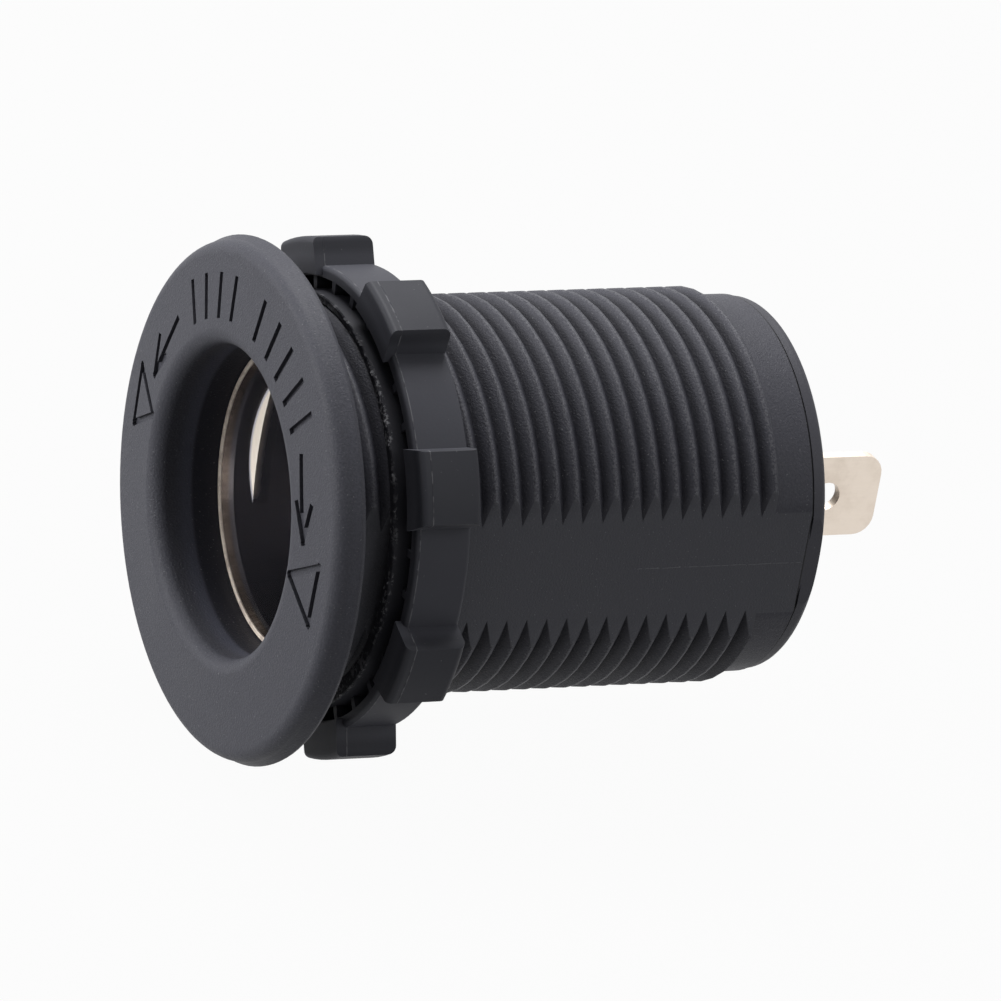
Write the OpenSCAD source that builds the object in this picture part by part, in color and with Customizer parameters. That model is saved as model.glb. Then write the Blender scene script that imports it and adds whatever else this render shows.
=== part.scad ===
// Panel-mount 12 V power socket for a car dashboard: a threaded plastic housing with a locking bezel,
// a lugged mounting nut, a nickel-plated contact shell and two blade terminals.
// Frame: origin at the centre of the flange's back face, which seats on the panel.
// The socket's mouth faces -Y, the barrel runs along +Y, +Z is up and the two flats face +X and -X.

/* [Flange and bezel] */
// Diameter of the flange at its back face
flange_d = 37.9; // [34:0.1:42]
// Thickness of the flange at the mouth
flange_t = 2.7; // [2:0.1:3.5]
// Angle at which the bezel's face falls back from the mouth to the rim
bezel_angle = 5; // [0:0.5:8]
// How much smaller the flange's radius is at the front
flange_draft = 0.3; // [0:0.05:0.4]
// Radius of the flange's front edge
flange_edge_r = 1.1; // [0.3:0.1:1.5]
// Radius of the flange's back edge
flange_back_r = 0.5; // [0.1:0.1:0.8]
// Radius of the rounded lip at the mouth
mouth_lip_r = 1.1; // [0.2:0.1:1.3]

/* [Bezel marks] */
// Width of the engraved strokes
mark_w = 0.5; // [0.3:0.02:0.6]
// Depth of the engraved strokes
mark_depth = 0.3; // [0.1:0.05:0.5]
// Inner radius of the row of ticks
tick_inner_r = 13.3; // [12.9:0.1:14]
// Outer radius of the row of ticks
tick_outer_r = 16.1; // [15.5:0.1:16.5]
// Angles of the ticks, clockwise from the top
tick_angles = [-40, -31.5, -22.5, -13.5, 4, 14, 23, 32.5, 42];

/* [Barrel and thread] */
// Length of the barrel behind the flange
barrel_len = 37.85; // [34:0.05:50]
// Thickness of the barrel's wall, from the bore for the shell to the root of the thread
barrel_wall = 2.55; // [1.5:0.05:3.5]
// Height of the thread, from root to crest
thread_h = 0.73; // [0.5:0.01:0.9]
// Pitch of the thread, sixteen turns to the inch
pitch = 1.5875; // [1.25:0.0125:2]
// Width of the flat on the crest
crest_w = 0.25; // [0.15:0.05:0.4]
// Plain collar left behind the thread
collar_len = 3.05; // [2:0.05:5]
// How much larger the collar's radius is than the thread's root
collar_step = 0.06; // [0.04:0.01:0.2]
// Axial place of the groove's root on the +X side
thread_phase = 0.5; // [0:0.05:1.5]
// How much larger the neck's radius is than the thread's crest, so that a panel lies flat on the flange
neck_step = 0.12; // [0.1:0.01:0.3]
// Length of that neck
neck_len = 0.4; // [0.2:0.1:0.8]
// How far each flat lies inside the root of the thread
flat_cut = 0.5; // [0.2:0.05:0.8]

/* [Mounting nut] */
// Gap between the flange and the nut, where the panel goes
panel_gap = 4.0; // [1:0.1:15]
// Depth of the nut along the barrel
nut_h = 5.2; // [4:0.1:8]
// Width of the pockets between the nut's hub and its round outer wall
pocket_w = 0.92; // [0.6:0.02:2]
// Thickness of the nut's outer wall
nut_wall_t = 0.8; // [0.6:0.05:1]
// How far the outer wall's front lies behind the hub's front face
wall_set_back = 0.9; // [0.2:0.05:1.2]
// Thickness of the hub round the nut's bore
nut_hub_t = 0.5; // [0.4:0.05:0.7]
// Thickness of the floor behind the nut's pockets
nut_floor_t = 1.2; // [0.8:0.1:2]
// Number of thin radial ribs across the pockets
nut_ribs = 32; // [16:8:40]
// Thickness of a rib
rib_t = 0.55; // [0.4:0.05:0.8]
// How far the ribs lie behind the hub's front face
rib_drop = 1; // [0.6:0.05:1.3]
// Number of grip lugs
lugs = 8; // [6:1:10]
// How far the lugs stand out from the outer wall
lug_h = 2; // [1:0.1:3]
// Width of a lug at its outer face
lug_w = 5.4; // [4:0.1:6.5]
// How much wider a lug is at its root, each side
lug_flare = 0.25; // [0:0.05:0.6]
// How far the lugs' front lies behind the hub's front face
lug_set_back = 0.4; // [0.3:0.05:0.9]
// Radius of the lugs' rounded front edges
lug_front_r = 0.45; // [0.2:0.05:0.8]
// Radius of the lugs' rounded rear edges
lug_rear_r = 0.6; // [0.3:0.1:0.9]
// Radius of the lugs' rounded corners, seen along the barrel
lug_corner_r = 0.8; // [0.3:0.1:1.2]
// Angle of the first lug above +X
lug_angle = 28; // [0:1:44]

/* [Contact shell] */
// Inner diameter of the contact shell, which takes the plug
shell_bore_d = 21.0; // [20.9:0.02:21.4]
// Thickness of the shell's sheet
shell_t = 0.5; // [0.4:0.05:0.6]
// Depth of the shell's lip behind the front of the bezel
lip_depth = 5.1; // [4:0.1:7]
// How far the flared lip stands out from the shell
lip_flare = 0.15; // [0.1:0.05:0.3]
// Room between the back of the shell's floor and the end of the barrel
shell_back = 3.35; // [3:0.05:5.4]
// How far the locking ribs stand into the bore
lock_rib_h = 0.65; // [0.3:0.05:0.8]
// Width of a locking rib along the bore
lock_rib_w = 2.0; // [1.6:0.1:3]
// Distance of the locking ribs behind the lip
lock_rib_gap = 2.1; // [1.5:0.1:5]
// Angle that each locking rib covers, from where its height runs out to where it runs out again
lock_rib_arc = 56; // [50:1:80]

/* [Centre contact] */
// Diameter of the centre contact
contact_d = 9.0; // [7:0.1:10]
// Thickness of the centre contact's sheet
contact_t = 0.6; // [0.4:0.05:0.8]
// Height of the raised middle of the centre contact
contact_dish = 0.8; // [0.4:0.1:1.2]
// Diameter of the front insulator
front_insulator_d = 11.5; // [10.5:0.1:11.6]
// Diameter of the rear insulator
rear_insulator_d = 10.4; // [9.4:0.1:10.6]
// Thickness of each insulator
insulator_t = 0.8; // [0.6:0.05:1]
// Diameter of the insulating bush through the floor
bush_d = 5.0; // [4.4:0.1:5.5]
// Diameter of the centre rivet's shank
rivet_d = 2.4; // [2:0.1:2.6]
// Diameter of the centre rivet's front head
rivet_head_d = 5.2; // [4.4:0.1:5.4]
// Diameter of the centre rivet's rear head
rivet_tail_d = 3.5; // [3.2:0.1:3.6]
// Height of the centre rivet's heads
rivet_head_h = 0.8; // [0.6:0.1:1]
// Diameter of the washer under the rivet's rear head
washer_d = 3.6; // [3.4:0.05:3.7]
// Thickness of that washer
washer_t = 0.4; // [0.3:0.05:0.6]

/* [Terminals] */
// Width of the blade terminals
blade_w = 6.3; // [4.8:0.1:6.4]
// Thickness of the terminals' sheet
blade_t = 0.8; // [0.6:0.05:0.8]
// How far the positive blade stands out of the rear cap
blade_out = 9.7; // [7:0.1:12]
// How much shorter the negative blade is
negative_short = 0.8; // [0:0.1:2]
// Distance of the blade's hole from its tip
blade_hole_back = 4.2; // [3:0.1:5]
// Diameter of the blade's hole
blade_hole_d = 2.2; // [1.5:0.1:2.4]
// Radius of the blade's rounded corners
blade_corner_r = 1.5; // [0.5:0.1:1.6]
// Outer face of the positive blade, from the axis
positive_x = 2.9; // [2.8:0.05:3.4]
// Length of the positive terminal's foot
positive_foot = 6.1; // [5.6:0.1:6.3]
// Room between the negative blade's outer face and the wall of the cap's spigot
negative_room = 0.7; // [0.65:0.05:1]
// Length of the negative terminal's foot
negative_foot = 4.1; // [4:0.1:4.2]
// Distance of the negative rivet from the negative blade's outer face
negative_rivet_in = 2.5; // [2.3:0.05:2.7]
// Diameter of the negative rivet's shank
small_rivet_d = 1.8; // [1.4:0.1:2]
// Diameter of the negative rivet's heads
small_head_d = 2.7; // [2.4:0.1:2.8]
// Height of the negative rivet's heads
small_head_h = 0.5; // [0.3:0.05:0.6]

/* [Rear cap] */
// Thickness of the cap outside the housing
cap_t = 1.25; // [1:0.05:2]
// How much smaller the cap's radius is than the collar's
cap_step = 0.08; // [0:0.02:0.4]
// Radius of the cap's rear edge
cap_edge_r = 0.6; // [0.3:0.05:0.8]
// Width of the shadow groove between housing and cap
groove_w = 0.15; // [0.1:0.05:0.3]
// Depth of that groove
groove_d = 0.3; // [0.2:0.05:0.5]
// Thickness of the spigot's wall
spigot_t = 0.6; // [0.4:0.05:0.6]

/* [Fits] */
// Radial clearance of the nut's bore over the thread
nut_clear = 0.15; // [0.1:0.01:0.3]
// Clearance of the shell in the housing
shell_clear = 0.05; // [0.02:0.01:0.15]
// Clearance of small round pieces in their holes
pin_clear = 0.05; // [0.02:0.01:0.1]
// Clearance of the blades in the cap's slots
slot_clear = 0.15; // [0.05:0.05:0.3]
// Clearance of the cap's spigot in the housing
spigot_clear = 0.05; // [0.02:0.01:0.15]

/* [Hidden] */
$fn = 96;
// Steps of the thread's surface in one turn
thread_steps = 48;
// Overlap that carries a cut clean through a face
eps = 0.2;
shell_r = shell_bore_d / 2;
shell_out_r = shell_r + shell_t;
lip_r = shell_out_r + lip_flare;
shell_seat_r = shell_out_r + shell_clear;
root_r = shell_seat_r + barrel_wall;
crest_r = root_r + thread_h;
flat_x = root_r - flat_cut;
thread_end = barrel_len - collar_len;
nut_bore_r = crest_r + nut_clear;
nut_hub_r = nut_bore_r + nut_hub_t;
nut_inner_r = nut_hub_r + pocket_w;
nut_wall_r = nut_inner_r + nut_wall_t;
lug_r = nut_wall_r + lug_h;
spigot_r = shell_seat_r - spigot_clear;
negative_x = spigot_r - spigot_t - negative_room;
negative_rivet_x = negative_x - negative_rivet_in;
mouth_r = lip_r + shell_clear;
lip_y = lip_depth - flange_t;
ledge_y = lip_y + shell_t;
floor_back_y = barrel_len - shell_back;
floor_y = floor_back_y - shell_t;
foot_y = floor_back_y + insulator_t;
foot_back_y = foot_y + blade_t;
contact_back_y = floor_y - insulator_t;
rivet_tail_y = foot_back_y + washer_t;
cap_y = barrel_len;
cap_back_y = barrel_len + cap_t;
positive_tip_y = cap_back_y + blade_out;
negative_tip_y = positive_tip_y - negative_short;
rivet_r = rivet_d / 2;
bush_r = bush_d / 2;
// Corners of the bezel's arrows and triangles as [radius, angle clockwise from the top].
// An arrow is its tail, its tip and its two barbs, a triangle its three corners.
arrow_left = [[14.5, -52], [13.9, -74.8], [15.25, -65.2], [13.35, -65]];
arrow_right = [[14, 51.2], [13.8, 75.9], [12.9, 64.6], [14.85, 65.8]];
triangle_left = [[16.25, -78.8], [15.7, -94.6], [12.4, -85.9]];
triangle_right = [[16.05, 96.7], [12.4, 88.2], [16.25, 80.5]];

// Turns a shape built along Z so that it lies along the socket's axis, +Y
module along_axis(y = 0) {
    translate([0, y, 0])
        rotate([-90, 0, 0])
            children();
}

// Points of a rounded corner: centre, radius, first and last angle
function corner(c, r, a0, a1, n = 6) =
    [for (i = [0 : n]) c + r * [cos(a0 + (a1 - a0) * i / n), sin(a0 + (a1 - a0) * i / n)]];

// Revolved disc or ring between two heights
module ring(r_out, r_in, z0, z1) {
    difference() {
        translate([0, 0, z0]) cylinder(r = r_out, h = z1 - z0);
        if (r_in > 0)
            translate([0, 0, z0 - eps]) cylinder(r = r_in, h = z1 - z0 + 2 * eps);
    }
}

// Solid rod with a right-hand helical thread, long enough past z0 and z1 for its ends to be cut off square.
// Its profile grows by clear, and shift is the height of its frame's origin along the barrel.
module threaded_rod(z0, z1, clear = 0, shift = 0) {
    turns = ceil((z1 - z0) / pitch) + 3;
    steps = turns * thread_steps;
    base = pitch * floor((z0 + shift - thread_phase) / pitch) + thread_phase - shift - 2 * pitch;
    // One pitch of the profile as [radius, height]: root, then both ends of the crest
    profile = [[root_r + clear, 0], [crest_r + clear, (pitch - crest_w) / 2],
               [crest_r + clear, (pitch + crest_w) / 2]];
    k = len(profile);
    helix = [for (t = [0 : steps])
             for (q = profile)
                 [q[0] * cos(360 * t / thread_steps), q[0] * sin(360 * t / thread_steps),
                  base + q[1] + pitch * t / thread_steps]];
    low = len(helix);
    high = low + 1;
    points = concat(helix, [[0, 0, base - pitch], [0, 0, base + pitch * (turns + 1)]]);
    // Flanks and crest, then the flank that joins one turn to the next
    strips = [for (t = [0 : steps - 1])
              for (j = [0 : k - 2])
              for (tri = [[t * k + j, t * k + j + 1, (t + 1) * k + j],
                          [t * k + j + 1, (t + 1) * k + j + 1, (t + 1) * k + j]]) tri];
    joins = [for (t = [0 : steps - thread_steps - 1])
             for (tri = [[t * k + k - 1, (t + thread_steps) * k, (t + 1) * k + k - 1],
                         [(t + thread_steps) * k, (t + thread_steps + 1) * k, (t + 1) * k + k - 1]]) tri];
    // Closing fans on the axis, below the first turn and above the last
    foot = concat([for (t = [0 : thread_steps]) t * k], [for (j = [k - 1 : -1 : 1]) j]);
    top = concat([for (t = [steps - thread_steps : steps]) t * k + k - 1],
                 [for (j = [k - 2 : -1 : 0]) steps * k + j]);
    fan_low = [for (i = [0 : len(foot) - 1]) [low, foot[i], foot[(i + 1) % len(foot)]]];
    fan_high = [for (i = [0 : len(top) - 1]) [high, top[(i + 1) % len(top)], top[i]]];
    polyhedron(points = points, faces = concat(strips, joins, fan_low, fan_high), convexity = 10);
}

// Place on the bezel of a point given as [radius, angle clockwise from the top]
function on_bezel(p) = p[0] * [sin(p[1]), -cos(p[1])];

// Straight stroke of a mark between two places on the bezel, as a plate through its whole thickness
module stroke(p, q) {
    a = on_bezel(p);
    b = on_bezel(q);
    along = (b - a) / norm(b - a) * mark_w / 2;
    across = [-along[1], along[0]];
    translate([0, 0, -flange_t - 2 * eps])
        linear_extrude(flange_t)
            polygon([a - along - across, b + along - across, b + along + across, a - along + across]);
}

// Arrows, triangles and ticks that are engraved in the bezel
module bezel_marks() {
    for (arrow = [arrow_left, arrow_right])
        for (start = [0, 2, 3])
            stroke(arrow[start], arrow[1]);
    for (triangle = [triangle_left, triangle_right])
        for (i = [0 : 2])
            stroke(triangle[i], triangle[(i + 1) % 3]);
    for (angle = tick_angles)
        stroke([tick_inner_r, angle], [tick_outer_r, angle]);
}

// Height of the bezel's sloping face at a radius
function face_height(r) =
    mouth_lip_r - flange_t - mouth_lip_r / cos(bezel_angle) + (r - mouth_r - mouth_lip_r) * tan(bezel_angle);

module housing() {
    flange_r = flange_d / 2;
    front_r = flange_r - flange_draft;
    // Height of the centre of the rim's rounded front edge, which is tangent to the sloping face
    edge_centre = face_height(front_r - flange_edge_r) + flange_edge_r / cos(bezel_angle);
    profile = concat(
        corner([mouth_r + mouth_lip_r, mouth_lip_r - flange_t], mouth_lip_r, 180, 270 + bezel_angle, 8),
        corner([front_r - flange_edge_r, edge_centre], flange_edge_r, bezel_angle - 90, 0, 8),
        corner([flange_r - flange_back_r, -flange_back_r], flange_back_r, 0, 90),
        [[mouth_r, 0]]);
    color("#2b2c2f")
    along_axis()
    difference() {
        union() {
            difference() {
                rotate_extrude() polygon(profile);
                // Marks, to an even depth under the sloping face
                intersection() {
                    bezel_marks();
                    rotate_extrude()
                        polygon([[mouth_r, -flange_t - eps], [flange_r, -flange_t - eps],
                                 [flange_r, face_height(flange_r) + mark_depth],
                                 [mouth_r, face_height(mouth_r) + mark_depth]]);
                }
            }
            intersection() {
                threaded_rod(-eps, thread_end);
                translate([0, 0, -eps]) cylinder(r = crest_r + 1, h = thread_end + eps);
            }
            translate([0, 0, -eps]) cylinder(r = crest_r + neck_step, h = neck_len + eps);
            translate([0, 0, thread_end - eps])
                cylinder(r = root_r + collar_step, h = barrel_len - thread_end + eps);
        }
        translate([0, 0, -eps]) cylinder(r = mouth_r, h = ledge_y + eps);
        translate([0, 0, ledge_y - eps]) cylinder(r = shell_seat_r, h = barrel_len - ledge_y + 2 * eps);
        for (side = [-1, 1])
            translate([side * (flat_x + flange_d / 2), 0, (barrel_len + eps) / 2])
                cube([flange_d, flange_d, barrel_len + eps], center = true);
    }
}

// Section of the nut's hub, floor and outer wall, revolved, with the hub's front face at height 0
module nut_body(pocket_h) {
    wall_edge = 0.35;
    rotate_extrude()
        polygon(concat([[0, 0], [nut_hub_r, 0], [nut_hub_r, pocket_h], [nut_inner_r, pocket_h],
                        [nut_inner_r, wall_set_back]],
                       corner([nut_wall_r - wall_edge, wall_set_back + wall_edge], wall_edge, -90, 0),
                       corner([nut_wall_r - wall_edge, nut_h - wall_edge], wall_edge, 0, 90),
                       [[0, nut_h]]));
}

// Grip lugs round the nut, which grow out of its outer wall and stand a little in front of it
module nut_lugs() {
    rear_step = 0.1;
    inside_r = nut_inner_r + nut_wall_t / 5;
    // Centre of a rounded corner in a lug's plan
    corner_x = lug_r + eps - lug_corner_r;
    corner_y = lug_w / 2 - lug_corner_r;
    intersection() {
        rotate_extrude()
            polygon(concat([[inside_r, lug_set_back]],
                           corner([lug_r - lug_front_r, lug_set_back + lug_front_r], lug_front_r, -90, 0),
                           corner([lug_r - lug_rear_r, nut_h - rear_step - lug_rear_r], lug_rear_r, 0, 90),
                           [[inside_r, nut_h - rear_step]]));
        for (i = [0 : lugs - 1])
            rotate([0, 0, i * 360 / lugs - lug_angle])
                linear_extrude(nut_h)
                    polygon(concat([[nut_hub_r, -lug_w / 2 - lug_flare]],
                                   corner([corner_x, -corner_y], lug_corner_r, -90, 0),
                                   corner([corner_x, corner_y], lug_corner_r, 0, 90),
                                   [[nut_hub_r, lug_w / 2 + lug_flare]]));
    }
}

module mounting_nut() {
    pocket_h = nut_h - nut_floor_t;
    // How far the ribs run into what they meet
    bite = 0.3;
    color("#2a2c31")
    along_axis(panel_gap)
    difference() {
        union() {
            nut_body(pocket_h);
            nut_lugs();
            // Thin radial ribs across the pocket between hub and wall
            for (i = [0 : nut_ribs - 1])
                rotate([0, 0, (i + 0.5) * 360 / nut_ribs - lug_angle])
                    translate([nut_hub_r - bite, -rib_t / 2, rib_drop])
                        cube([nut_inner_r - nut_hub_r + 2 * bite, rib_t, pocket_h - rib_drop + bite]);
        }
        // Internal thread, the barrel's own thread with clearance all round
        threaded_rod(-eps, nut_h + eps, nut_clear, panel_gap);
    }
}

module contact_shell() {
    lip_edge = 0.1;
    lip_inner_r = shell_r + lip_flare + shell_clear;
    bend_r = 0.6;
    rib_y = lip_y + lock_rib_gap;
    flank = 0.4;
    // Each rib follows a larger circle round an axis at rib_axis, and leaves the bore at both of its ends
    crest = shell_r - lock_rib_h;
    rib_axis = (shell_r * shell_r - crest * crest) / (2 * (shell_r * cos(lock_rib_arc / 2) - crest));
    rib_r = crest - rib_axis;
    foot_r = rib_r + lock_rib_h;
    past_r = foot_r + 4 * shell_t;
    color("#b9b2a3")
    along_axis()
    difference() {
        union() {
            rotate_extrude()
                polygon(concat(
                    [[lip_inner_r, lip_y], [lip_r - lip_edge, lip_y], [lip_r, lip_y + lip_edge],
                     [lip_r, ledge_y], [shell_out_r, ledge_y]],
                    corner([shell_out_r - bend_r, floor_back_y - bend_r], bend_r, 0, 90),
                    [[bush_r + pin_clear, floor_back_y], [bush_r + pin_clear, floor_y]],
                    corner([shell_r - bend_r, floor_y - bend_r], bend_r, 90, 0),
                    [[shell_r, ledge_y + shell_t]]));
            // Two locking ribs pressed into the bore, on the +X and -X sides
            intersection() {
                translate([0, 0, rib_y - eps]) cylinder(r = shell_r + shell_t / 2, h = lock_rib_w + 2 * eps);
                for (side = [0, 180])
                    rotate([0, 0, side])
                        translate([rib_axis, 0, 0])
                            rotate_extrude()
                                polygon([[past_r, rib_y], [foot_r, rib_y], [rib_r, rib_y + flank],
                                         [rib_r, rib_y + lock_rib_w - flank], [foot_r, rib_y + lock_rib_w],
                                         [past_r, rib_y + lock_rib_w]]);
            }
        }
        // Hollow backs of the pressed ribs
        for (side = [0, 180])
            rotate([0, 0, side])
                translate([rib_axis, 0, 0])
                    rotate_extrude()
                        polygon([[past_r, rib_y + flank], [foot_r + shell_t, rib_y + flank],
                                 [rib_r + shell_t, rib_y + 1.5 * flank],
                                 [rib_r + shell_t, rib_y + lock_rib_w - 1.5 * flank],
                                 [foot_r + shell_t, rib_y + lock_rib_w - flank],
                                 [past_r, rib_y + lock_rib_w - flank]]);
        translate([-negative_rivet_x, 0, floor_y - eps])
            cylinder(r = small_rivet_d / 2 + pin_clear, h = shell_t + 2 * eps);
    }
}

module front_insulator() {
    color("#d9d2bf")
    along_axis()
    difference() {
        union() {
            ring(front_insulator_d / 2, 0, floor_y - insulator_t, floor_y);
            translate([0, 0, floor_y - eps])
                cylinder(r = bush_r, h = shell_t + insulator_t - pin_clear + eps);
        }
        translate([0, 0, floor_y - insulator_t - eps])
            cylinder(r = rivet_r + pin_clear, h = shell_t + 2 * insulator_t + 2 * eps);
    }
}

module centre_contact() {
    hole_r = rivet_r + pin_clear;
    rim_r = contact_d / 2;
    flat_r = rivet_head_d / 2 + contact_t / 2;
    color("#c8c2b4")
    along_axis(contact_back_y)
        rotate_extrude()
            polygon([[hole_r, 0], [flat_r, 0], [rim_r - contact_t, -contact_dish], [rim_r, -contact_dish],
                     [rim_r, -contact_dish - contact_t], [rim_r - 1.5 * contact_t, -contact_dish - contact_t],
                     [flat_r, -contact_t], [hole_r, -contact_t]]);
}

// Low domed rivet head that stands on height 0, as points of its half section
function head_section(r, h) = concat([[0, 0]], corner([r - h / 2, h / 2], h / 2, -90, 90), [[0, h]]);

module centre_rivet() {
    front_y = contact_back_y - contact_t;
    color("#d8c48a")
    along_axis() {
        translate([0, 0, front_y])
            mirror([0, 0, 1])
                rotate_extrude()
                    polygon(head_section(rivet_head_d / 2, rivet_head_h));
        translate([0, 0, front_y - rivet_head_h / 2])
            cylinder(r = rivet_r, h = rivet_tail_y - front_y + rivet_head_h);
        translate([0, 0, rivet_tail_y])
            rotate_extrude()
                polygon(head_section(rivet_tail_d / 2, rivet_head_h));
    }
}

module rear_insulator() {
    color("#c9b48a")
    along_axis()
        ring(rear_insulator_d / 2, bush_r + pin_clear, floor_back_y, foot_y);
}

module rivet_washer() {
    color("#c4c0b4")
    along_axis()
        ring(washer_d / 2, rivet_r + pin_clear, foot_back_y, foot_back_y + washer_t);
}

// Bent blade: foot across the axis at height 0, blade standing up along it at outer_x
module bent_blade(outer_x, foot_len, height) {
    bend_in = 0.2;
    bend_out = bend_in + blade_t;
    inner_x = outer_x - blade_t;
    hole_z = height - blade_hole_back;
    difference() {
        rotate([90, 0, 0])
            translate([0, 0, -blade_w / 2])
                linear_extrude(blade_w)
                    polygon(concat([[outer_x - foot_len, 0]],
                                   corner([outer_x - bend_out, bend_out], bend_out, -90, 0),
                                   [[outer_x, height], [inner_x, height]],
                                   corner([inner_x - bend_in, blade_t + bend_in], bend_in, 0, -90),
                                   [[outer_x - foot_len, blade_t]]));
        for (side = [0, 1])
            mirror([0, side, 0])
                translate([inner_x - eps, blade_w / 2, height])
                    rotate([0, 90, 0])
                        linear_extrude(blade_t + 2 * eps)
                            polygon(concat([[-eps, eps], [blade_corner_r, eps]],
                                           corner([blade_corner_r, -blade_corner_r], blade_corner_r, 90, 180),
                                           [[-eps, -blade_corner_r]]));
        translate([inner_x - eps, 0, hole_z])
            rotate([0, 90, 0])
                cylinder(d = blade_hole_d, h = blade_t + 2 * eps);
    }
}

module positive_terminal() {
    color("#d3c9b6")
    along_axis(foot_y)
    difference() {
        bent_blade(positive_x, positive_foot, positive_tip_y - foot_y);
        translate([0, 0, -eps]) cylinder(r = rivet_r + pin_clear, h = blade_t + 2 * eps);
    }
}

module negative_terminal() {
    color("#d3c9b6")
    along_axis(floor_back_y)
    difference() {
        mirror([1, 0, 0]) bent_blade(negative_x, negative_foot, negative_tip_y - floor_back_y);
        translate([-negative_rivet_x, 0, -eps])
            cylinder(r = small_rivet_d / 2 + pin_clear, h = blade_t + 2 * eps);
    }
}

module negative_rivet() {
    tail_y = floor_back_y + blade_t;
    color("#cfc6b2")
    translate([-negative_rivet_x, 0, 0])
    along_axis() {
        translate([0, 0, floor_y])
            mirror([0, 0, 1])
                rotate_extrude()
                    polygon(head_section(small_head_d / 2, small_head_h));
        translate([0, 0, floor_y - small_head_h / 2])
            cylinder(r = small_rivet_d / 2, h = tail_y - floor_y + small_head_h);
        translate([0, 0, tail_y])
            rotate_extrude()
                polygon(head_section(small_head_d / 2, small_head_h));
    }
}

module rear_cap() {
    cap_r = root_r - cap_step;
    color("#292a2d")
    difference() {
        along_axis()
            union() {
                rotate_extrude()
                    polygon(concat([[0, cap_y], [cap_r - groove_d, cap_y],
                                    [cap_r - groove_d, cap_y + groove_w], [cap_r, cap_y + groove_w]],
                                   corner([cap_r - cap_edge_r, cap_back_y - cap_edge_r], cap_edge_r, 0, 90),
                                   [[0, cap_back_y]]));
                ring(spigot_r, spigot_r - spigot_t, floor_back_y, cap_y + groove_w);
            }
        for (side = [-1, 1])
            translate([side * (flat_x + flange_d / 2), cap_y, 0])
                cube([flange_d, flange_d, 3 * root_r], center = true);
        for (x = [positive_x - blade_t / 2, blade_t / 2 - negative_x])
            translate([x, cap_y, 0])
                cube([blade_t + 2 * slot_clear, 4 * cap_t, blade_w + 2 * slot_clear], center = true);
    }
}

housing();
mounting_nut();
contact_shell();
front_insulator();
centre_contact();
centre_rivet();
rear_insulator();
positive_terminal();
rivet_washer();
negative_terminal();
negative_rivet();
rear_cap();
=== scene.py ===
import math

import bmesh
import bpy
from mathutils import Matrix, Vector, noise


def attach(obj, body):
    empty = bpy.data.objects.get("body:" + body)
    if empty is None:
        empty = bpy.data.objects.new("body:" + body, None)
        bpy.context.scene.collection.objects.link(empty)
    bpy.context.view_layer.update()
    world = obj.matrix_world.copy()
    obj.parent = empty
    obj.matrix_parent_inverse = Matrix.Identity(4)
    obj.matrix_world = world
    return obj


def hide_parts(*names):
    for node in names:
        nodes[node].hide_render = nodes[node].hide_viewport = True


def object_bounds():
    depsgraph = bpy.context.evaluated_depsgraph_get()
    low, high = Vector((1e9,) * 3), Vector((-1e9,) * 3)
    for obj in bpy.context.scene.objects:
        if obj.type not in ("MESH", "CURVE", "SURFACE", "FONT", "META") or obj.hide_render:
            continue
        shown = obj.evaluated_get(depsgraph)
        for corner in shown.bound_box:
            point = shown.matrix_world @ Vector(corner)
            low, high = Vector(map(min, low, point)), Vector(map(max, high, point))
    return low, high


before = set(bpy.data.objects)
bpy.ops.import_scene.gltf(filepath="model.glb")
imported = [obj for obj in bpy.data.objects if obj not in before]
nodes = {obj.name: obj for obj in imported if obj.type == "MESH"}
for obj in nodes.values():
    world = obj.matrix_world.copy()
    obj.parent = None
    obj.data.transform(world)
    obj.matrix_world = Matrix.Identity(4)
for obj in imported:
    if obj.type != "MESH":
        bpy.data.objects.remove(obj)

MM = 0.001
cad_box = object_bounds()

# Places that the pieces share, in millimetres, as in part.scad
CREST_R = 14.33
ROOT_R = 13.6
THREAD_END_Y = 34.8
FLAT_X = 13.1
CAP_Y = 37.85
NUT_Y = 4.0
NUT_HUB_R = 14.98
NUT_WALL_R = 16.7
MOUTH_R = 11.2
LIP_Y = 2.4
RIB_Y = 4.5
BORE_R = 10.5


# Node helpers
def link(tree, a, b):
    tree.links.new(a, b)


def math_node(tree, kind, a, b=None, c=None, clamp=False):
    node = tree.nodes.new("ShaderNodeMath")
    node.operation = kind
    node.use_clamp = clamp
    for socket, value in zip(node.inputs, (a, b, c)):
        if value is None:
            continue
        if isinstance(value, (int, float)):
            socket.default_value = value
        else:
            link(tree, value, socket)
    return node.outputs[0]


def product(tree, *factors):
    """All factors multiplied, each a socket or a number."""
    result = factors[0]
    for factor in factors[1:]:
        result = math_node(tree, "MULTIPLY", result, factor)
    return result


def ramp_between(tree, value, low, high):
    """0 below low, 1 above high, smooth between."""
    node = tree.nodes.new("ShaderNodeMapRange")
    node.interpolation_type = "SMOOTHSTEP"
    link(tree, value, node.inputs["Value"])
    node.inputs["From Min"].default_value = low
    node.inputs["From Max"].default_value = high
    return node.outputs["Result"]


def fall_between(tree, value, low, high):
    """1 below low, 0 above high, smooth between."""
    return math_node(tree, "SUBTRACT", 1.0, ramp_between(tree, value, low, high))


def band(tree, value, centre, half, soft):
    """1 within half of centre, falling to 0 over soft."""
    off = math_node(tree, "ABSOLUTE", math_node(tree, "SUBTRACT", value, centre))
    return fall_between(tree, off, half, half + soft)


def mix_colour(tree, mask, a, b):
    node = tree.nodes.new("ShaderNodeMix")
    node.data_type = "RGBA"
    for socket, value in ((node.inputs[0], mask), (node.inputs[6], a), (node.inputs[7], b)):
        if isinstance(value, tuple):
            socket.default_value = (*value, 1.0)
        elif isinstance(value, (int, float)):
            socket.default_value = value
        else:
            link(tree, value, socket)
    return node.outputs[2]


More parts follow.
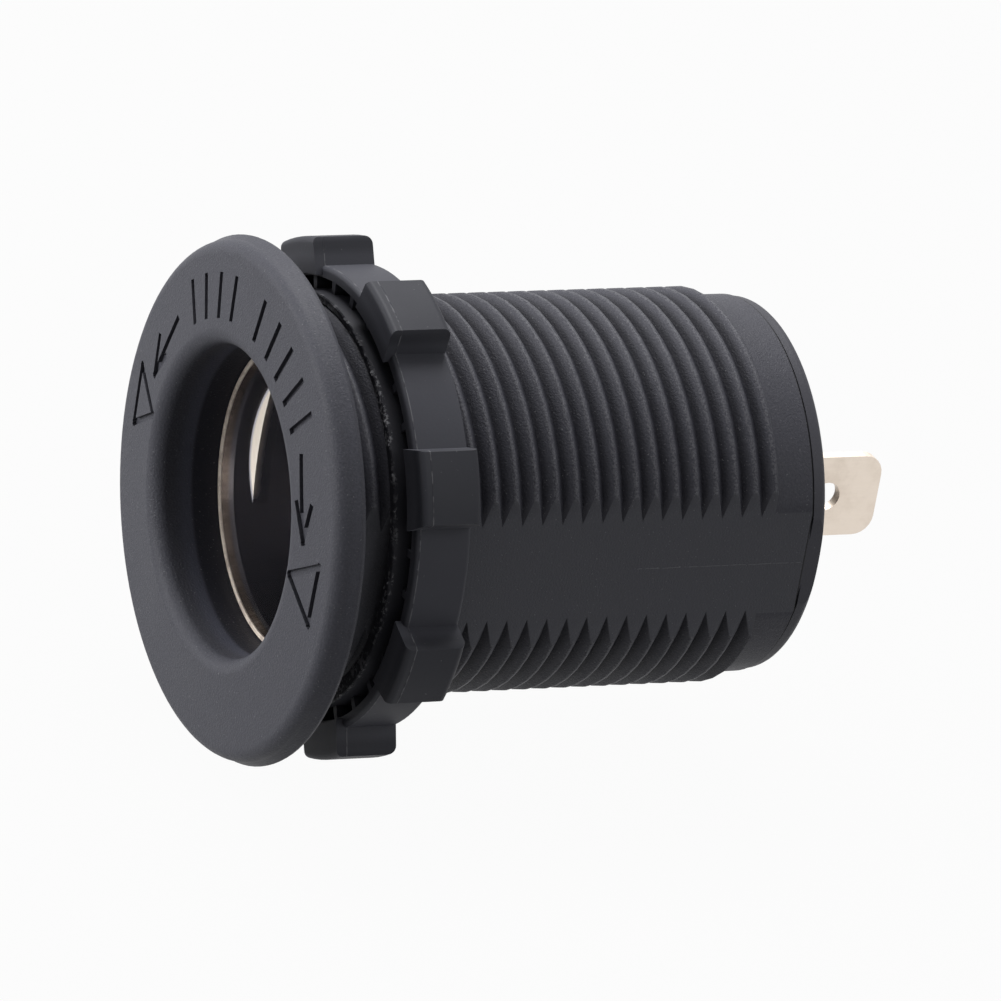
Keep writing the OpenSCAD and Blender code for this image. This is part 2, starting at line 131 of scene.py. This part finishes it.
def noise_value(tree, vector, scale, detail=2.0, rough=0.5):
    node = tree.nodes.new("ShaderNodeTexNoise")
    link(tree, vector, node.inputs["Vector"])
    node.inputs["Scale"].default_value = scale
    node.inputs["Detail"].default_value = detail
    node.inputs["Roughness"].default_value = rough
    return node.outputs["Fac"]


def stretched(tree, coords, scale):
    """Coords scaled along each axis, so that a pattern on them runs long where the scale is small."""
    mapping = tree.nodes.new("ShaderNodeMapping")
    mapping.inputs["Scale"].default_value = scale
    link(tree, coords, mapping.inputs["Vector"])
    return mapping.outputs["Vector"]


def seen_directly(tree):
    """1 for what the camera, a reflection or a clear body sees, 0 for the light that falls on pieces."""
    path = tree.nodes.new("ShaderNodeLightPath")
    through = math_node(tree, "MAXIMUM", path.outputs["Is Glossy Ray"], path.outputs["Is Transmission Ray"])
    return math_node(tree, "MAXIMUM", path.outputs["Is Camera Ray"], through)


def new_group(name, inputs, outputs):
    tree = bpy.data.node_groups.new(name, "ShaderNodeTree")
    for label, kind, value in inputs:
        socket = tree.interface.new_socket(label, in_out="INPUT", socket_type=kind)
        if value is not None:
            socket.default_value = value
    for label in outputs:
        tree.interface.new_socket(label, in_out="OUTPUT", socket_type="NodeSocketFloat")
    return tree, tree.nodes.new("NodeGroupInput"), tree.nodes.new("NodeGroupOutput")


# Shared effects
def make_barrel_places():
    """Radius from the socket's axis, distance along it and distance to either side, in millimetres."""
    tree, _, sink = new_group("Barrel places", [], ["Radius", "Along", "Aside"])
    split = tree.nodes.new("ShaderNodeSeparateXYZ")
    link(tree, tree.nodes.new("ShaderNodeTexCoord").outputs["Object"], split.inputs[0])
    x, y, z = (math_node(tree, "MULTIPLY", s, 1000.0) for s in split.outputs)
    square = math_node(tree, "ADD", product(tree, x, x), product(tree, z, z))
    link(tree, math_node(tree, "SQRT", square), sink.inputs["Radius"])
    link(tree, y, sink.inputs["Along"])
    link(tree, math_node(tree, "ABSOLUTE", x), sink.inputs["Aside"])
    return tree


def make_moulded_grain():
    """Fine grain of moulded plastic: a height, an uneven tone and sparse pale specks."""
    tree, source, sink = new_group(
        "Moulded grain",
        [("Vector", "NodeSocketVector", None), ("Grain Scale", "NodeSocketFloat", 7000.0),
         ("Speck Scale", "NodeSocketFloat", 5200.0), ("Speck Cut", "NodeSocketFloat", 0.7)],
        ["Height", "Tone", "Specks"])
    vector = source.outputs["Vector"]
    grain = tree.nodes.new("ShaderNodeTexNoise")
    grain.inputs["Detail"].default_value = 3.0
    grain.inputs["Roughness"].default_value = 0.6
    link(tree, vector, grain.inputs["Vector"])
    link(tree, source.outputs["Grain Scale"], grain.inputs["Scale"])
    link(tree, grain.outputs["Fac"], sink.inputs["Height"])
    cloud = noise_value(tree, vector, 260.0, 3.0)
    link(tree, cloud, sink.inputs["Tone"])
    dust = tree.nodes.new("ShaderNodeTexNoise")
    dust.inputs["Detail"].default_value = 1.0
    link(tree, vector, dust.inputs["Vector"])
    link(tree, source.outputs["Speck Scale"], dust.inputs["Scale"])
    over = math_node(tree, "SUBTRACT", dust.outputs["Fac"], source.outputs["Speck Cut"])
    link(tree, math_node(tree, "MULTIPLY", over, 14.0, clamp=True), sink.inputs["Specks"])
    return tree


def make_drawn_lines():
    """Fine lines left along the direction in which sheet metal was drawn or stamped."""
    tree, source, sink = new_group(
        "Drawn lines",
        [("Vector", "NodeSocketVector", None), ("Scale", "NodeSocketFloat", 3000.0)],
        ["Height"])
    lines = tree.nodes.new("ShaderNodeTexNoise")
    lines.inputs["Detail"].default_value = 4.0
    lines.inputs["Roughness"].default_value = 0.7
    link(tree, source.outputs["Vector"], lines.inputs["Vector"])
    link(tree, source.outputs["Scale"], lines.inputs["Scale"])
    link(tree, lines.outputs["Fac"], sink.inputs["Height"])
    return tree


barrel_places = make_barrel_places()
moulded_grain = make_moulded_grain()
drawn_lines = make_drawn_lines()


def place(tree, group, **values):
    node = tree.nodes.new("ShaderNodeGroup")
    node.node_tree = group
    for label, value in values.items():
        socket = node.inputs[label.replace("_", " ")]
        if isinstance(value, (int, float)):
            socket.default_value = value
        else:
            link(tree, value, socket)
    return node.outputs


def new_material(name, roughness, metallic=0.0, specular=0.5):
    material = bpy.data.materials.new(name)
    material.use_nodes = True
    tree = material.node_tree
    shader = tree.nodes["Principled BSDF"]
    shader.inputs["Roughness"].default_value = roughness
    shader.inputs["Metallic"].default_value = metallic
    shader.inputs["Specular IOR Level"].default_value = specular
    coords = tree.nodes.new("ShaderNodeTexCoord").outputs["Object"]
    return material, tree, shader, coords


def bump(tree, shader, height, distance, strength=1.0):
    node = tree.nodes.new("ShaderNodeBump")
    node.inputs["Strength"].default_value = strength
    node.inputs["Distance"].default_value = distance
    link(tree, height, node.inputs["Height"])
    link(tree, node.outputs["Normal"], shader.inputs["Normal"])


# Finishes
SEAM_PAINTED_SHADOW = (0.006, 0.006, 0.007)


def housing_plastic():
    """Charcoal moulding: fine grain, thread crests rubbed pale, painted shade in the grooves, flats and mouth
    painted paler as painted light, a painted shadow line at the cap.
    """
    material, tree, shader, coords = new_material("housing_plastic", 0.55, specular=0.14)
    places = place(tree, barrel_places)
    along, aside, radius = places["Along"], places["Aside"], places["Radius"]
    grain = place(tree, moulded_grain, Vector=coords,
                  Grain_Scale=6500.0, Speck_Scale=6800.0, Speck_Cut=0.70)
    behind = ramp_between(tree, along, 0.2, 0.6)

    # Between flange and nut the crests are rubbed evenly, further back in patches
    crest = product(tree, ramp_between(tree, radius, CREST_R - 0.15, CREST_R - 0.04), behind)
    even = product(tree, fall_between(tree, along, NUT_Y, NUT_Y + 1.0), 0.3)
    patchy = math_node(tree, "MAXIMUM", ramp_between(tree, grain["Height"], 0.42, 0.58), even)
    ridge = product(tree, ramp_between(tree, aside, FLAT_X + 0.001, FLAT_X + 0.012), behind)
    rubbed = math_node(tree, "MAXIMUM", product(tree, crest, patchy, 0.6), ridge)

    # Painted shade darkens the grooves of the thread, and painted light makes the flats a little paler than
    # the rest
    on_flat = product(tree, ramp_between(tree, aside, FLAT_X - 0.06, FLAT_X - 0.02), behind)
    deep = fall_between(tree, radius, ROOT_R + 0.1, ROOT_R + 0.62)
    past_thread = ramp_between(tree, along, THREAD_END_Y - 0.3, THREAD_END_Y)
    threaded = math_node(tree, "SUBTRACT", behind, past_thread)
    round_part = math_node(tree, "SUBTRACT", 1.0, on_flat)
    painted_groove_shade = product(tree, deep, threaded, round_part)

    mottle = ramp_between(tree, grain["Height"], 0.35, 0.65)
    speckle = math_node(tree, "MULTIPLY_ADD", mottle, 0.6, product(tree, grain["Tone"], 0.4))
    # Painted light: the barrel is painted a touch paler than the bezel, though both are one plastic
    barrel = mix_colour(tree, speckle, (0.0320, 0.0322, 0.0400), (0.0465, 0.0468, 0.0565))
    bezel = mix_colour(tree, speckle, (0.0305, 0.0310, 0.0385), (0.0455, 0.0460, 0.0555))
    tone = mix_colour(tree, behind, bezel, barrel)
    # Painted light: the inside of the mouth is painted paler and bluer than the bezel
    in_mouth = product(tree, ramp_between(tree, along, -1.2, 0.0),
                       fall_between(tree, radius, MOUTH_R + 0.05, MOUTH_R + 0.2))
    tone = mix_colour(tree, in_mouth, tone, (0.055, 0.057, 0.075))
    # Painted light: the flats are painted paler than the rest of the barrel
    tone = mix_colour(tree, product(tree, on_flat, 0.7), tone, (0.063, 0.064, 0.073))
    # Painted shade: the grooves of the thread are painted darker towards their roots
    tone = mix_colour(tree, product(tree, painted_groove_shade, 0.8), tone, (0.007, 0.007, 0.010))
    worn = mix_colour(tree, product(tree, rubbed, 0.7), tone, (0.11, 0.11, 0.12))
    # Painted shadow: a dark line along the joint where the barrel meets the cap
    seam = ramp_between(tree, along, CAP_Y - 0.07, CAP_Y - 0.03)
    worn = mix_colour(tree, seam, worn, SEAM_PAINTED_SHADOW)
    dusty = mix_colour(tree, product(tree, grain["Specks"], 0.3), worn, (0.25, 0.25, 0.26))
    link(tree, dusty, shader.inputs["Base Color"])
    link(tree, math_node(tree, "MULTIPLY_ADD", grain["Tone"], 0.16, 0.45), shader.inputs["Roughness"])
    bump(tree, shader, grain["Height"], 0.0001, 0.55)
    return material


def nut_plastic():
    """Bluish satin moulding with a fine parting line all round, a little behind its front."""
    material, tree, shader, coords = new_material("nut_plastic", 0.55, specular=0.14)
    places = place(tree, barrel_places)
    along, radius = places["Along"], places["Radius"]
    grain = place(tree, moulded_grain, Vector=coords,
                  Grain_Scale=3800.0, Speck_Scale=3600.0, Speck_Cut=0.76)
    outside = ramp_between(tree, radius, NUT_WALL_R - 0.3, NUT_WALL_R - 0.1)
    seam = product(tree, band(tree, along, NUT_Y + 1.2, 0.02, 0.05), outside)
    ragged = product(tree, seam, ramp_between(tree, noise_value(tree, coords, 1500.0), 0.4, 0.6))
    tone = mix_colour(tree, grain["Tone"], (0.0345, 0.0352, 0.0430), (0.0455, 0.0462, 0.0550))

    # Painted shade: the lugs and the hub are painted darker than the wall
    lug = ramp_between(tree, radius, NUT_WALL_R + 0.5, NUT_WALL_R + 1.3)
    hub = fall_between(tree, radius, NUT_HUB_R + 0.1, NUT_HUB_R + 0.4)
    tone = mix_colour(tree, product(tree, lug, 0.8), tone, (0.0200, 0.0206, 0.0255))
    tone = mix_colour(tree, product(tree, hub, 0.85), tone, (0.010, 0.010, 0.013))

    # Pale, torn plastic along the hub's front edge, and scuffed ends of the ribs
    front = fall_between(tree, along, NUT_Y + 0.05, NUT_Y + 0.35)
    strewn = ramp_between(tree, noise_value(tree, coords, 380.0), 0.38, 0.55)
    torn = ramp_between(tree, noise_value(tree, coords, 2600.0, 3.0, 0.7), 0.5, 0.6)
    flash = product(tree, front, strewn, torn)
    marked = math_node(tree, "MAXIMUM", product(tree, ragged, 0.5), product(tree, flash, 0.9))
    lined = mix_colour(tree, marked, tone, (0.16, 0.16, 0.17))
    dusty = mix_colour(tree, product(tree, grain["Specks"], 0.25), lined, (0.25, 0.25, 0.26))
    link(tree, dusty, shader.inputs["Base Color"])
    link(tree, math_node(tree, "MULTIPLY_ADD", grain["Tone"], 0.16, 0.48), shader.inputs["Roughness"])
    height = math_node(tree, "MULTIPLY_ADD", grain["Height"], 0.35, seam)
    bump(tree, shader, height, 0.00005, 0.5)
    return material


def cap_plastic():
    """Matte moulding of the rear cap."""
    material, tree, shader, coords = new_material("cap_plastic", 0.55, specular=0.2)
    places = place(tree, barrel_places)
    grain = place(tree, moulded_grain, Vector=coords,
                  Grain_Scale=5500.0, Speck_Scale=4300.0, Speck_Cut=0.74)
    # Painted shadow: a dark line at the cap's front edge, along its joint with the barrel
    seam = fall_between(tree, places["Along"], CAP_Y + 0.04, CAP_Y + 0.08)
    tone = mix_colour(tree, grain["Tone"], (0.0305, 0.0305, 0.0375), (0.0405, 0.0405, 0.0490))
    tone = mix_colour(tree, seam, tone, SEAM_PAINTED_SHADOW)
    dusty = mix_colour(tree, product(tree, grain["Specks"], 0.3), tone, (0.2, 0.2, 0.21))
    link(tree, dusty, shader.inputs["Base Color"])
    link(tree, math_node(tree, "MULTIPLY_ADD", grain["Tone"], 0.16, 0.45), shader.inputs["Roughness"])
    bump(tree, shader, grain["Height"], 0.00005, 0.5)
    return material


def drawn_metal(name, light, dark, roughness, stretch, line_scale=3000.0):
    """Plated sheet: drawn lines along one axis, uneven warm stain, softer shine where it is stained."""
    material, tree, shader, coords = new_material(name, roughness, metallic=1.0)
    lines = place(tree, drawn_lines, Vector=stretched(tree, coords, stretch), Scale=line_scale)
    cloud = noise_value(tree, coords, 420.0, 4.0, 0.6)
    stain = product(tree, ramp_between(tree, cloud, 0.4, 0.75), 0.7)
    fine = math_node(tree, "MULTIPLY_ADD", lines["Height"], 0.5, stain, clamp=True)
    link(tree, mix_colour(tree, fine, light, dark), shader.inputs["Base Color"])
    link(tree, math_node(tree, "MULTIPLY_ADD", fine, 0.22, roughness), shader.inputs["Roughness"])
    bump(tree, shader, lines["Height"], 0.00001, 0.6)
    return material


def shell_nickel():
    """Plated shell: dull bluish bore, bronze lip with a bright cut edge, and a painted highlight on the
    locking ribs' front flanks.
    """
    material, tree, shader, coords = new_material("shell_nickel", 0.2, metallic=1.0)
    places = place(tree, barrel_places)
    along, radius = places["Along"], places["Radius"]
    lines = place(tree, drawn_lines, Vector=stretched(tree, coords, (1.0, 0.08, 1.0)), Scale=2600.0)
    cloud = noise_value(tree, coords, 300.0, 2.0)
    lip = fall_between(tree, along, LIP_Y + 0.5, LIP_Y + 0.8)
    edge = fall_between(tree, along, LIP_Y + 0.03, LIP_Y + 0.12)
    # Painted highlight: the front flanks of the locking ribs are painted pale, fading towards their crests
    rib = fall_between(tree, radius, BORE_R - 0.2, BORE_R - 0.04)
    flank = fall_between(tree, along, RIB_Y + 0.35, RIB_Y + 1.1)
    rib_painted_highlight = product(tree, rib, flank)
    rough_part = math_node(tree, "MAXIMUM", edge, product(tree, rib_painted_highlight, 0.45))
    bore = mix_colour(tree, cloud, (0.47, 0.465, 0.50), (0.38, 0.375, 0.41))
    streaks = ramp_between(tree, lines["Height"], 0.35, 0.65)
    bronze = mix_colour(tree, streaks, (0.56, 0.48, 0.42), (0.38, 0.32, 0.28))
    plated = mix_colour(tree, lip, bore, bronze)
    pitted = ramp_between(tree, noise_value(tree, coords, 1400.0, 3.0, 0.6), 0.36, 0.6)
    cut_edge = product(tree, edge, math_node(tree, "MULTIPLY_ADD", pitted, 0.6, 0.1))
    cut_edge_and_painted_highlight = mix_colour(tree, math_node(tree, "MAXIMUM", cut_edge, rib_painted_highlight), plated, (0.80, 0.73, 0.64))
    link(tree, cut_edge_and_painted_highlight, shader.inputs["Base Color"])
    dull = math_node(tree, "MULTIPLY_ADD", lines["Height"], 0.05, 0.22)
    link(tree, math_node(tree, "MULTIPLY_ADD", rough_part, 0.38, dull), shader.inputs["Roughness"])
    bump(tree, shader, product(tree, lines["Height"], lip), 0.00001, 0.5)
    return material


def fibre_board():
    """Pale pressed board with flecks."""
    material, tree, shader, coords = new_material("fibre", 0.75, specular=0.3)
    fleck = noise_value(tree, coords, 2400.0, 4.0, 0.7)
    flecked = ramp_between(tree, fleck, 0.4, 0.65)
    link(tree, mix_colour(tree, flecked, (0.62, 0.54, 0.38), (0.45, 0.37, 0.24)), shader.inputs["Base Color"])
    bump(tree, shader, fleck, 0.00003, 0.5)
    return material


ALONG_Z = (1.0, 1.0, 0.1)
ALONG_Y = (1.0, 0.15, 1.0)
NO_GRAIN = (1.0, 1.0, 1.0)
finishes = {
    "housing": housing_plastic(),
    "mounting_nut": nut_plastic(),
    "rear_cap": cap_plastic(),
    "contact_shell": shell_nickel(),
    "centre_contact": drawn_metal("contact_nickel", (0.70, 0.66, 0.58), (0.42, 0.37, 0.30), 0.25, ALONG_Z),
    "centre_rivet": drawn_metal("rivet_brass", (0.78, 0.62, 0.32), (0.45, 0.32, 0.14), 0.25, NO_GRAIN),
    "rivet_washer": drawn_metal("washer_steel", (0.62, 0.61, 0.58), (0.36, 0.34, 0.31), 0.3, ALONG_Z),
    "negative_rivet": drawn_metal("rivet_steel", (0.66, 0.63, 0.56), (0.40, 0.36, 0.30), 0.28, NO_GRAIN),
}
blade_nickel = drawn_metal("terminal_nickel", (0.78, 0.69, 0.60), (0.66, 0.58, 0.50), 0.38, ALONG_Y, 5000.0)
board = fibre_board()
finishes.update(positive_terminal=blade_nickel, negative_terminal=blade_nickel,
                front_insulator=board, rear_insulator=board)

for name, material in finishes.items():
    mesh = nodes[name].data
    mesh.materials.clear()
    mesh.materials.append(material)


# Pieces
def add_piece(name, bm, material, body):
    """Makes bm a piece that lies in place, rides on body and takes its finish from material."""
    mesh = bpy.data.meshes.new(name)
    bm.to_mesh(mesh)
    bm.free()
    mesh.materials.append(material)
    piece = bpy.data.objects.new(name, mesh)
    bpy.context.scene.collection.objects.link(piece)
    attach(piece, body)
    return piece


def add_smooth_copy(node, name, body, sharp_angle, ring_y=None):
    """Stands in for a CAD node whose curved faces are many small flats: the same shape, shaded smooth.

    The shading breaks at edges sharper than sharp_angle, and at all edges in the plane ring_y.
    """
    bm = bmesh.new()
    bm.from_mesh(nodes[node].data)
    bmesh.ops.remove_doubles(bm, verts=bm.verts, dist=2e-6)
    for face in bm.faces:
        face.smooth = True
    near = 0.01 * MM
    for edge in bm.edges:
        in_ring = ring_y is not None and all(abs(vert.co.y - ring_y * MM) < near for vert in edge.verts)
        soft = len(edge.link_faces) == 2 and edge.calc_face_angle(0.0) < math.radians(sharp_angle)
        edge.smooth = soft and not in_ring
    piece = add_piece(name, bm, finishes[node], body)
    weighted = piece.modifiers.new("weighted_normals", "WEIGHTED_NORMAL")
    weighted.mode = "FACE_AREA"
    weighted.weight = 100
    weighted.keep_sharp = True
    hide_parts(node)
    return piece


def add_mould_line(name, side, y_from, y_to, seed):
    """Ragged ridge that the mould's split leaves along a flat of the barrel."""
    height = 0.07
    half_width = 0.05
    sunk = 0.004
    drift = 0.03
    bm = bmesh.new()
    bmesh.ops.create_grid(bm, x_segments=120, y_segments=2, size=0.5)
    for vert in bm.verts:
        along, across = vert.co.x + 0.5, vert.co.y * 2
        rough = noise.noise(Vector((along * 38, seed, 0)))
        lump = max(0.0, 0.35 + rough) * (1.0 - abs(across))
        wander = drift * noise.noise(Vector((along * 9, seed, 5)))
        x = FLAT_X - sunk + height * lump
        y = y_from + (y_to - y_from) * along
        vert.co = Vector((side * x, y, side * across * half_width + wander)) * MM
    bmesh.ops.recalc_face_normals(bm, faces=bm.faces)
    for face in bm.faces:
        face.smooth = True
    return add_piece(name, bm, finishes["housing"], "socket")


def add_hub_flash(name):
    """Thin torn flash round the front edge of the nut's hub."""
    reach = 0.22
    half = 0.03
    outline = ((NUT_HUB_R - 0.2, half), (NUT_HUB_R - 0.08, -half), (NUT_HUB_R + 0.02, half))
    bm = bmesh.new()
    profile = [bm.verts.new(Vector((r, NUT_Y + y, 0)) * MM) for r, y in outline]
    edges = [bm.edges.new((profile[i], profile[(i + 1) % 3])) for i in range(3)]
    bmesh.ops.spin(bm, geom=profile + edges, cent=(0, 0, 0), axis=(0, 1, 0), angle=math.tau,
                   steps=900, use_merge=True, use_duplicate=False)
    for vert in bm.verts:
        angle = math.atan2(vert.co.z, vert.co.x)
        around = Vector((math.cos(angle), math.sin(angle), 0)) * 14
        rough = 0.6 * noise.noise(around) + 0.5 * noise.noise(around * 3.1) + 0.5 * noise.noise(around * 11.0)
        tip = max(0.0, (NUT_Y + half) * MM - vert.co.y) / (2 * half * MM)
        vert.co.y -= tip * max(0.0, 0.01 + reach * rough) * MM
    bmesh.ops.recalc_face_normals(bm, faces=bm.faces)
    return add_piece(name, bm, finishes["mounting_nut"], "nut")


add_smooth_copy("housing", "housing_body", "socket", 50, THREAD_END_Y)
add_smooth_copy("mounting_nut", "nut_body", "nut", 30)
add_mould_line("mould_line_right", 1, 24.5, 37.6, 3.0)
add_mould_line("mould_line_left", -1, 9.0, 37.6, 8.0)
add_hub_flash("nut_flash")


# Camera, with its axes and distance as recovered from the photograph
TARGET = Vector((0.0, 22.6, 0.0)) * MM
RIGHT = Vector((0.412317, 0.895681, 0.166587))
UP = Vector((-0.437535, 0.034295, 0.898547))
BACK = Vector((0.799098, -0.443373, 0.406032))
DISTANCE = 980.486 * MM
PIXELS_PER_MM = 13.910
SENSOR_WIDTH = 36.0
# The photograph's square frame, and where the target lies in it
FRAME_PX = 1001
CENTRE_PX = FRAME_PX / 2
TARGET_PX = (537.35, 489.433)


def add_camera():
    shift = (RIGHT * (TARGET_PX[0] - CENTRE_PX) - UP * (TARGET_PX[1] - CENTRE_PX)) / PIXELS_PER_MM * MM
    eye = TARGET + BACK * DISTANCE
    back = (eye - (TARGET - shift)).normalized()
    right = UP.cross(back).normalized()
    up = back.cross(right)
    data = bpy.data.cameras.new("camera")
    data.sensor_width = SENSOR_WIDTH
    data.lens = SENSOR_WIDTH * PIXELS_PER_MM * DISTANCE / MM / FRAME_PX
    data.clip_start = 0.05
    data.clip_end = 20.0
    camera = bpy.data.objects.new("camera", data)
    camera.matrix_world = Matrix(((right.x, up.x, back.x, eye.x), (right.y, up.y, back.y, eye.y),
                                  (right.z, up.z, back.z, eye.z), (0, 0, 0, 1)))
    bpy.context.scene.collection.objects.link(camera)
    bpy.context.scene.camera = camera


add_camera()


# Light and floor
def add_softbox(name, direction, distance, size, power, aim=TARGET):
    data = bpy.data.lights.new(name, "AREA")
    data.shape = "DISK"
    data.size = size
    data.energy = power
    lamp = bpy.data.objects.new(name, data)
    lamp.location = aim + direction.normalized() * distance
    lamp.rotation_mode = "QUATERNION"
    lamp.rotation_quaternion = direction.to_track_quat("Z", "Y")
    bpy.context.scene.collection.objects.link(lamp)


MOUTH_CENTRE = Vector((0.0, -2.7, 0.0)) * MM
add_softbox("key_above", UP + BACK * 0.05, distance=0.45, size=0.3, power=3.3)
add_softbox("fill_left", BACK * 0.2 - RIGHT + UP * 0.3, distance=0.4, size=0.4, power=3.2, aim=MOUTH_CENTRE)
add_softbox("fill_right", BACK * 0.62 + RIGHT * 0.75 + UP * 0.2, distance=0.7, size=0.4, power=1.25)


DAYLIGHT = 0.22


def add_world():
    """White where it is seen, and a weak even light elsewhere."""
    world = bpy.data.worlds.new("studio")
    world.use_nodes = True
    tree = world.node_tree
    background = tree.nodes["Background"]
    background.inputs["Color"].default_value = (1.0, 1.0, 1.0, 1.0)
    strength = math_node(tree, "MULTIPLY_ADD", seen_directly(tree), 1.0 - DAYLIGHT, DAYLIGHT)
    link(tree, strength, background.inputs["Strength"])
    bpy.context.scene.world = world


def add_floor():
    """Wide disc just under the part, white where it is seen but for a trace of the part's shadow."""
    bm = bmesh.new()
    bmesh.ops.create_circle(bm, cap_ends=True, segments=128, radius=6.0)
    bmesh.ops.translate(bm, vec=(0, 0, cad_box[0].z - 0.4 * MM), verts=bm.verts)
    mesh = bpy.data.meshes.new("floor")
    bm.to_mesh(mesh)
    bm.free()
    floor = bpy.data.objects.new("floor", mesh)
    bpy.context.scene.collection.objects.link(floor)
    material = bpy.data.materials.new("floor")
    material.use_nodes = True
    tree = material.node_tree
    shader = tree.nodes["Principled BSDF"]
    shader.inputs["Base Color"].default_value = (0.12, 0.12, 0.12, 1.0)
    shader.inputs["Roughness"].default_value = 0.9
    glow = tree.nodes.new("ShaderNodeEmission")
    mixer = tree.nodes.new("ShaderNodeMixShader")
    link(tree, product(tree, seen_directly(tree), 0.96), mixer.inputs["Fac"])
    link(tree, shader.outputs[0], mixer.inputs[1])
    link(tree, glow.outputs[0], mixer.inputs[2])
    link(tree, mixer.outputs[0], tree.nodes["Material Output"].inputs["Surface"])
    mesh.materials.append(material)


add_world()
add_floor()
bpy.context.scene.view_settings.view_transform = "Standard"
